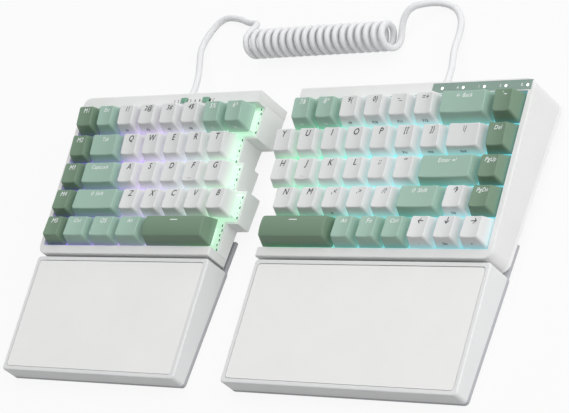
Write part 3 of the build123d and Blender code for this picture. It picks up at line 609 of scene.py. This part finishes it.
def shape_cap(width, row, is_space):
    """One cap with rounded corners, curved top, hollow underside and stem."""
    depth = pitch - cap_gap
    (front_y, front_z), (rear_y, rear_z) = cap_profile(row, is_space)
    cap = bmesh.new()
    bmesh.ops.create_cube(cap, size=1)
    for corner in cap.verts:
        side = 1 if corner.co.x > 0 else -1
        rear = corner.co.y > 0
        if corner.co.z > 0:
            y, z = (rear_y, rear_z) if rear else (front_y, front_z)
            corner.co = (side * (width / 2 - cap_side_inset), y, z)
        else:
            corner.co = (side * width / 2, depth / 2 if rear else -depth / 2, 0)
    upright = [edge for edge in cap.edges if edge.verts[0].co.z * edge.verts[1].co.z == 0
               and edge.verts[0].co.z + edge.verts[1].co.z > 0]
    bmesh.ops.bevel(cap, geom=upright, offset=cap_edge_round, offset_type="OFFSET",
                    affect="EDGES", segments=3, profile=0.5, material=-1)
    floor = [face for face in cap.faces if face.normal.z < -0.9]
    bmesh.ops.inset_region(cap, faces=floor, thickness=cap_wall)
    floor = [face for face in cap.faces if face.normal.z < -0.9]
    mouth = max(floor, key=lambda face: face.calc_area())
    ceiling = bmesh.ops.extrude_face_region(cap, geom=[mouth])
    ceiling = [item for item in ceiling["geom"] if isinstance(item, bmesh.types.BMVert)]
    bmesh.ops.delete(cap, geom=[mouth], context="FACES_ONLY")
    bmesh.ops.translate(cap, verts=ceiling, vec=(0, 0, hollow_height))
    width_share = (width - hollow_draft) / (width - 2 * cap_wall)
    bmesh.ops.scale(cap, verts=ceiling, vec=(width_share, hollow_depth_share, 1))

    # The top is cut into strips, and its corners go onto the curved surface
    for cut in range(1, top_strips):
        share = cut / top_strips - 0.5
        if is_space:
            place, across = (0, (front_y + rear_y) / 2 + share * (rear_y - front_y), 0), (0, 1, 0)
        else:
            place, across = (share * (width - 2 * cap_side_inset), 0, 0), (1, 0, 0)
        whole = cap.verts[:] + cap.edges[:] + cap.faces[:]
        bmesh.ops.bisect_plane(cap, geom=whole, dist=1e-7, plane_co=place, plane_no=across)
    slope = (rear_z - front_z) / (rear_y - front_y)
    length = sqrt((rear_y - front_y) ** 2 + (rear_z - front_z) ** 2)
    for vertex in cap.verts:
        if abs(vertex.co.z - (front_z + slope * (vertex.co.y - front_y))) < 1e-6:
            along = (vertex.co.y - (front_y + rear_y) / 2) * length / (rear_y - front_y)
            vertex.co.z = top_point(width, row, is_space, vertex.co.x, along).z
    cap.normal_update()
    rim = [edge for edge in cap.edges if len(edge.link_faces) == 2 and edge.calc_face_angle() > 0.7
           and min(vertex.co.z for vertex in edge.verts) > top_clearly_above]
    bmesh.ops.bevel(cap, geom=rim, offset=cap_rim_round, offset_type="OFFSET",
                    affect="EDGES", segments=3, profile=0.5, material=-1)
    bmesh.ops.create_cone(
        cap, cap_ends=True, segments=20, radius1=stem_radius, radius2=stem_radius,
        depth=stem_length, matrix=Matrix.Translation((0, 0, stem_middle)))
    if width >= 2 * pitch - cap_gap:
        reach = long_wire_reach if is_space else short_wire_reach
        for x in (-reach, reach):
            bmesh.ops.create_cone(
                cap, cap_ends=True, segments=16, radius1=wire_stem_radius,
                radius2=wire_stem_radius, depth=wire_stem_length,
                matrix=Matrix.Translation((x, 0, wire_stem_middle)))
    return cap


letter_meshes = {}
letter_weight = 0.014
half_capital = 0.35
ink_lift = 0.00004
legend_place = 0.0038
legend_shift = 0.0006
front_legend_share = 0.42
front_legend_size = 0.0026


def embolden(mesh):
    """Widens flat lettering a little by moving its outline outward."""
    shape = bmesh.new()
    shape.from_mesh(mesh)
    pushes = {}
    for edge in shape.edges:
        if len(edge.link_faces) == 1:
            one, other = (vertex.co for vertex in edge.verts)
            outward = (other - one).cross(Vector((0, 0, 1))).normalized()
            if outward.dot(edge.link_faces[0].calc_center_median() - one) > 0:
                outward.negate()
            for vertex in edge.verts:
                pushes[vertex] = pushes.get(vertex, Vector()) + outward
    for vertex, push in pushes.items():
        vertex.co += push.normalized() * letter_weight
    shape.to_mesh(mesh)
    shape.free()


def letters(text, slant=0.22):
    """Flat lettering one unit high, middle at the origin."""
    if (text, slant) not in letter_meshes:
        curve = bpy.data.curves.new("letters", "FONT")
        curve.body = text
        curve.shear = slant
        curve.resolution_u = 3
        curve.space_character = 1.08
        thing = bpy.data.objects.new("letters", curve)
        bpy.context.collection.objects.link(thing)
        mesh = mesh_of(thing)
        bpy.data.objects.remove(thing)
        embolden(mesh)
        xs = [vertex.co.x for vertex in mesh.vertices]
        middle = (min(xs) + max(xs)) / 2
        mesh.transform(Matrix.Translation((-middle, -half_capital, 0)))
        letter_meshes[text, slant] = mesh
    return letter_meshes[text, slant]


def print_on_top(cap, text, size, width, row, ink):
    """Prints a legend on a cap's dished top."""
    mark = bmesh.new()
    mark.from_mesh(letters(text))
    bmesh.ops.triangulate(mark, faces=mark.faces)
    for vertex in mark.verts:
        x, along = vertex.co.x * size + legend_shift, vertex.co.y * size + legend_place
        vertex.co = top_point(width, row, False, x, along) + Vector((0, 0, ink_lift))
    for face in mark.faces:
        face.material_index = ink
        if face.normal.z < 0:
            face.normal_flip()
    stamp(cap, mark)


def print_on_front(cap, text, row, ink):
    """Prints a small second legend on a cap's front face."""
    (front_y, front_z), rear = cap_profile(row, False)
    foot = Vector((0, (cap_gap - pitch) / 2, 0))
    rise = Vector((0, front_y, front_z)) - foot
    mark = bmesh.new()
    mark.from_mesh(letters(text, 0))
    away = rise.normalized().cross(Vector((-1, 0, 0))) * ink_lift
    start = foot + rise * front_legend_share
    for vertex in mark.verts:
        x, up = vertex.co.x * front_legend_size, vertex.co.y * front_legend_size
        vertex.co = start + rise.normalized() * up + Vector((x, 0, 0)) + away
    for face in mark.faces:
        face.material_index = ink
    stamp(cap, mark)


def stamp(target, source, place=None):
    """Adds one bmesh to another, at a place."""
    mesh = bpy.data.meshes.new("stamp")
    source.to_mesh(mesh)
    source.free()
    if place:
        mesh.transform(place)
    target.from_mesh(mesh)
    bpy.data.meshes.remove(mesh)


white_cap = moulded_plastic("white_cap", (0.76, 0.765, 0.76), roughness=0.5)
mint_cap = moulded_plastic("mint_cap", (0.36, 0.53, 0.44), roughness=0.5)
sage_cap = moulded_plastic("sage_cap", (0.185, 0.285, 0.195), roughness=0.5)
dark_ink = moulded_plastic("dark_ink", (0.03, 0.03, 0.035), roughness=0.6)
pale_ink = moulded_plastic("pale_ink", (0.86, 0.9, 0.88), roughness=0.6)
# Painted light: the feet of the caps glow with the light under the keys, fading towards their
# tops.
add_painted_glow(white_cap, reach=0.0062, strength=0.26)
add_painted_glow(mint_cap, reach=0.0055, strength=0.16)
add_painted_glow(sage_cap, reach=0.0045, strength=0.1)
cap_finishes = (white_cap, mint_cap, sage_cap, dark_ink, pale_ink)


def finish_smooth(thing, angle=40):
    """Rounds the shading of a piece but keeps its crisp edges."""
    thing.data.shade_smooth()
    thing.data.set_sharp_from_angle(angle=radians(angle))
    weights = thing.modifiers.new("even_normals", "WEIGHTED_NORMAL")
    weights.keep_sharp = True


legend_sizes = {1: 0.0055, 2: 0.0044}
word_size = 0.0036
dash_size = (0.0062, 0.0006)
bar_size = (0.0034, 0.0006, 0.0007)
bar_place = -0.0045


def make_keys(node, grid, body, keys, color, homing):
    """One piece for a CAD node: each key is row, left edge, width, legend and colour."""
    group = bmesh.new()
    for row, start, span, legend, own_color in keys:
        paint = color if own_color == ALL else own_color
        is_space = span == 3
        width = span * pitch - cap_gap
        cap = shape_cap(width, row, is_space)
        for face in cap.faces:
            face.material_index = paint
        ink = DARK_INK if paint == WHITE else PALE_INK
        top_text, front_text = legend if isinstance(legend, tuple) else (legend, "")
        size = legend_sizes.get(len(top_text), word_size)
        if is_space:
            dash = bmesh.new()
            bmesh.ops.create_grid(dash, x_segments=6, y_segments=2, size=0.5)
            for vertex in dash.verts:
                x, along = vertex.co.x * dash_size[0], vertex.co.y * dash_size[1] + legend_place
                vertex.co = top_point(width, row, True, x, along) + Vector((0, 0, ink_lift))
            for face in dash.faces:
                face.material_index = ink
            stamp(cap, dash)
        else:
            print_on_top(cap, top_text, size, width, row, ink)
        if front_text:
            print_on_front(cap, front_text, row, ink)
        if top_text == homing:
            bar = bmesh.ops.create_cube(cap, size=1)["verts"]
            bmesh.ops.scale(cap, verts=bar, vec=bar_size)
            bmesh.ops.translate(cap, verts=bar, vec=top_point(width, row, False, 0, bar_place))
        middle = Matrix.Translation(((start + span / 2) * pitch, (row + 0.5) * pitch, 0))
        stamp(group, cap, key_plane(grid) @ middle)
    name = node.replace("_keys", "_caps").replace("_key", "_cap") + "_dressed"
    piece = flat_mesh_object(name, group)
    for finish in cap_finishes:
        piece.data.materials.append(finish)
    finish_smooth(piece)
    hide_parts(node)
    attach(piece, body)


def a_row(row, start, legends, color=ALL):
    """Keys of one unit side by side."""
    return [(row, start + place, 1, legend, color) for place, legend in enumerate(legends)]


numbers_left = [("1!", "F1"), ("2@", "F2"), ("3#", "F3"), ("4$", "F4")]
numbers_right = [("9(", "F9"), ("0)", "F10"), ("-_", "F11"), ("=+", "F12")]
left_keys = {
    "macro_keys": ([(4 - place, -1, 1, "M" + str(place + 1), ALL) for place in range(5)], SAGE),
    "escape_key": ([(4, 0, 1, "Esc", ALL)], MINT),
    "left_number_keys": (
        a_row(4, 1, numbers_left) + a_row(4, 5, [("5%", "F5"), ("6^", "F6")], MINT), WHITE),
    "tab_key": ([(3, 0, 1.5, "Tab", ALL)], MINT),
    "left_upper_letter_keys": (a_row(3, 1.5, "QWERT"), WHITE),
    "caps_lock_key": ([(2, 0, 1.75, "CapsLock", ALL)], MINT),
    "left_home_letter_keys": (a_row(2, 1.75, "ASDFG"), WHITE),
    "left_shift_key": ([(1, 0, 2.25, "⇧ Shift", ALL)], MINT),
    "left_lower_letter_keys": (a_row(1, 2.25, "ZXCVB"), WHITE),
    "left_control_key": ([(0, 0, 1.25, "Ctrl", ALL)], MINT),
    "left_system_key": ([(0, 1.25, 1.25, "OS", ALL)], MINT),
    "left_alt_key": ([(0, 2.5, 1.25, "Alt", ALL)], MINT),
    "left_space_bar": ([(0, 3.75, 3, "", ALL)], SAGE),
}
right_keys = {
    "right_number_keys": (
        a_row(4, 7, [("7&", "F7"), ("8*", "F8")], MINT) + a_row(4, 9, numbers_right), WHITE),
    "backspace_key": ([(4, 13, 2, "← Back", ALL)], MINT),
    "right_upper_letter_keys": (
        a_row(3, 6.5, ["Y", "U", "I", "O", "P", ("[{", "Prt"), ("]}", "Hm")])
        + [(3, 13.5, 1.5, ("\\|", "End"), ALL)], WHITE),
    "right_home_letter_keys": (a_row(2, 6.75, ["H", "J", "K", "L", ";:", "'\""]), WHITE),
    "enter_key": ([(2, 12.75, 2.25, "Enter ↵", ALL)], MINT),
    "right_lower_letter_keys": (a_row(1, 7.25, ["N", "M", (",<", "A"), ".>", "/?"]), WHITE),
    "right_shift_key": ([(1, 12.25, 1.75, "⇧ Shift", ALL)], MINT),
    "up_arrow_key": ([(1, 14, 1, ("↑", "Up"), ALL)], WHITE),
    "left_arrow_key": ([(0, 13, 1, ("←", "-"), ALL)], WHITE),
    "down_arrow_key": ([(0, 14, 1, ("↓", "Dn"), ALL)], WHITE),
    "right_arrow_key": ([(0, 15, 1, ("→", "+"), ALL)], WHITE),
    "right_space_bar": ([(0, 7, 3, "", ALL)], SAGE),
    "right_modifier_keys": (a_row(0, 10, ["Alt", "Fn", "Ctrl"]), MINT),
    "navigation_keys": (
        [(4, 15, 1, "`~", ALL), (3, 15, 1, "Del", ALL), (2, 15, 1, "PgUp", ALL),
         (1, 15, 1, "PgDn", ALL)], SAGE),
}
for grid, homing, key_nodes in ((grid_left, "F", left_keys), (grid_right, "J", right_keys)):
    for node, (keys, color) in key_nodes.items():
        make_keys(node, grid, node, keys, color, homing)


# Cases
# Each half is a white moulded frame screwed over a tray. Four rubber feet, two fold-out
# feet and six small screws are underneath.

case_plastic = moulded_plastic("case_plastic", (0.82, 0.82, 0.81), roughness=0.45)
tray_plastic = moulded_plastic("tray_plastic", (0.9, 0.9, 0.89), roughness=0.5)
foot_rubber = moulded_plastic("foot_rubber", (0.05, 0.05, 0.055), roughness=0.85, specular=0.2)
foot_plastic = moulded_plastic("foot_plastic", (0.6, 0.6, 0.62), roughness=0.5)


ports_behind = 0.0872
board_green = (0.02, 0.09, 0.05)


def port_mask():
    """A group that is one on the metal port shells at the rear of a board, else zero."""
    group = bpy.data.node_groups.new("port_mask", "ShaderNodeTree")
    group.interface.new_socket("Mask", in_out="OUTPUT", socket_type="NodeSocketFloat")
    group.interface.new_socket("Color", in_out="OUTPUT", socket_type="NodeSocketColor")
    nodes, links = group.nodes, group.links
    given = nodes.new("NodeGroupOutput")
    place = nodes.new("ShaderNodeTexCoord")
    axes = nodes.new("ShaderNodeSeparateXYZ")
    behind = nodes.new("ShaderNodeMath")
    behind.operation = "GREATER_THAN"
    behind.inputs[1].default_value = ports_behind
    tone = nodes.new("ShaderNodeMix")
    tone.data_type = "RGBA"
    tone.inputs["A"].default_value = (*board_green, 1)
    tone.inputs["B"].default_value = (0.55, 0.55, 0.57, 1)
    links.new(place.outputs["Object"], axes.inputs[0])
    links.new(axes.outputs["Y"], behind.inputs[0])
    links.new(behind.outputs[0], given.inputs["Mask"])
    links.new(behind.outputs[0], tone.inputs["Factor"])
    links.new(tone.outputs["Result"], given.inputs["Color"])
    return group


board_paint = moulded_plastic("board_paint", board_green, roughness=0.35)
board_nodes = board_paint.node_tree.nodes
ports = board_nodes.new("ShaderNodeGroup")
ports.node_tree = port_mask()
board_shader = board_nodes["Principled BSDF"]
board_paint.node_tree.links.new(ports.outputs["Mask"], board_shader.inputs["Metallic"])
board_paint.node_tree.links.new(ports.outputs["Color"], board_shader.inputs["Base Color"])
screw_steel = moulded_plastic("screw_steel", (0.5, 0.5, 0.52), grain=5000, roughness=0.3)
screw_steel.node_tree.nodes["Principled BSDF"].inputs["Metallic"].default_value = 1
for side in ("left", "right"):
    dress(side + "_top_frame", case_plastic)
    dress(side + "_bottom_case", tray_plastic)
    dress(side + "_rubber_feet", foot_rubber)
    dress(side + "_fold_out_feet", foot_plastic)
    dress(side + "_circuit_board", board_paint)
    dress(side + "_case_screws", screw_steel)


# Slide switches
# Two small mint knobs ride in slots of the left rear bezel, with plain marks beside them.

knob_plastic = moulded_plastic("knob_plastic", (0.25, 0.45, 0.34), grain=2500, roughness=0.4)
dress("left_mode_switch", knob_plastic)
dress("left_system_switch", knob_plastic)


def flat_print(name, marks, body, ink):
    """Small printed marks on a sloping bezel: text, height, x, y and z of each."""
    print_mesh = bmesh.new()
    for text, size, x, y, z in marks:
        mark = bmesh.new()
        mark.from_mesh(letters(text, 0))
        bmesh.ops.scale(mark, verts=mark.verts, vec=(size, size, size))
        place = Matrix.Translation((x, y, z)) @ Matrix.Rotation(tilt, 4, "X")
        stamp(print_mesh, mark, place)
    piece = flat_mesh_object(name, print_mesh)
    piece.data.materials.append(ink)
    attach(piece, body)


mark_size = 0.0026
switch_mark_y, switch_mark_z = 0.089, 0.03215
switch_marks = [
    ("1", -0.0995), ("2", -0.0965), ("3", -0.0855),
    ("A", -0.0815), ("B", -0.0775), ("C", -0.0655),
]
flat_print(
    "switch_marks",
    [(text, mark_size, x, switch_mark_y, switch_mark_z) for text, x in switch_marks],
    "left_half",
    dark_ink,
)


# Status panel
# A mint strip let into the right rear bezel, with five small white lights.

panel_plastic = moulded_plastic("panel_plastic", (0.25, 0.35, 0.3), grain=2500, roughness=0.3)
light_guide = moulded_plastic("light_guide", (0.9, 0.9, 0.9), grain=2500, roughness=0.2)
guide_shader = light_guide.node_tree.nodes["Principled BSDF"]
guide_shader.inputs["Emission Color"].default_value = (1, 1, 1, 1)
guide_shader.inputs["Emission Strength"].default_value = 1.0
dress("status_panel", panel_plastic)
dress("status_lights", light_guide)
panel_mark_y, panel_mark_z = 0.0901, 0.03227
panel_marks = [("A", 0.1295), ("1", 0.1449), ("2", 0.1603), ("B", 0.1757)]
flat_print(
    "panel_marks",
    [(text, mark_size, x, panel_mark_y, panel_mark_z) for text, x in panel_marks],
    "right_half",
    pale_ink,
)


# Wrist rests
# A grey base plate, a white shell and a smooth pad let into its sloping top.

shell_plastic = moulded_plastic("rest_shell", (0.81, 0.81, 0.81), roughness=0.4)
pad_skin = moulded_plastic("rest_pad", (0.91, 0.905, 0.89), grain=1200, roughness=0.6, relief=0.06)
base_plastic = moulded_plastic("rest_base", (0.5, 0.5, 0.53), roughness=0.5)
for side in ("left", "right"):
    dress(side + "_wrist_rest_shell", shell_plastic)
    dress(side + "_wrist_rest_pad", pad_skin)
    dress(side + "_wrist_rest_base", base_plastic)
